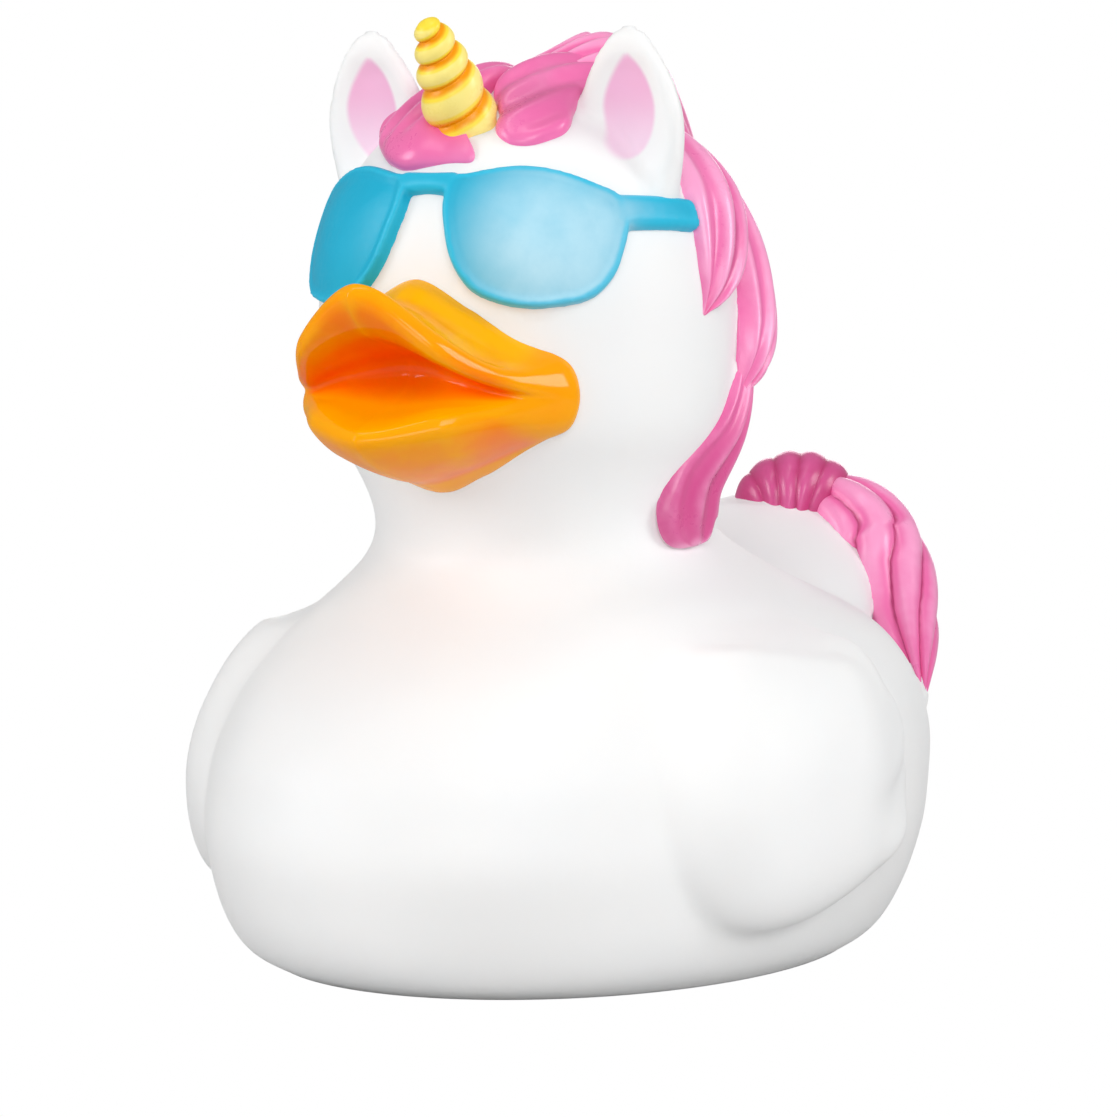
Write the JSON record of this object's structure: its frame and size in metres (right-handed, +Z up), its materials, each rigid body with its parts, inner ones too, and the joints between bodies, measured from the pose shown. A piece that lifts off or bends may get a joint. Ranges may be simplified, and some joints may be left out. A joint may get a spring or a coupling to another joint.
{
  "type": "rubber duck",
  "caption": "Hollow vinyl bath duck styled as a unicorn, with horn, mane, horse tail and moulded sunglasses, and a squeaker in its flat base.",
  "frame": {"origin": "middle of the bounding box, on the plane the duck stands on", "axes": "+Z up, the duck faces -Y, its left side is +X"},
  "size_m": [0.0806, 0.0998, 0.0993],
  "materials": {
    "vinyl_skin": "soft satin vinyl, sprayed pink, blue, orange and yellow on its forms",
    "squeaker_plastic": "natural white moulding",
    "whistle_plastic": "natural white moulding",
    "reed_film": "thin stiff film",
    "pink_paint": "sprayed paint on the hair",
    "blue_paint": "sprayed paint on the sunglasses",
    "orange_paint": "sprayed paint on the bill, yellow above",
    "yellow_paint": "sprayed paint on the horn",
    "lilac_paint": "sprayed paint in the ears"
  },
  "bodies": {
    "root": {"duck": "vinyl_skin", "squeaker_cup": "squeaker_plastic", "squeaker_whistle": "whistle_plastic", "squeaker_reed": "reed_film"}
  },
  "joints": []
}
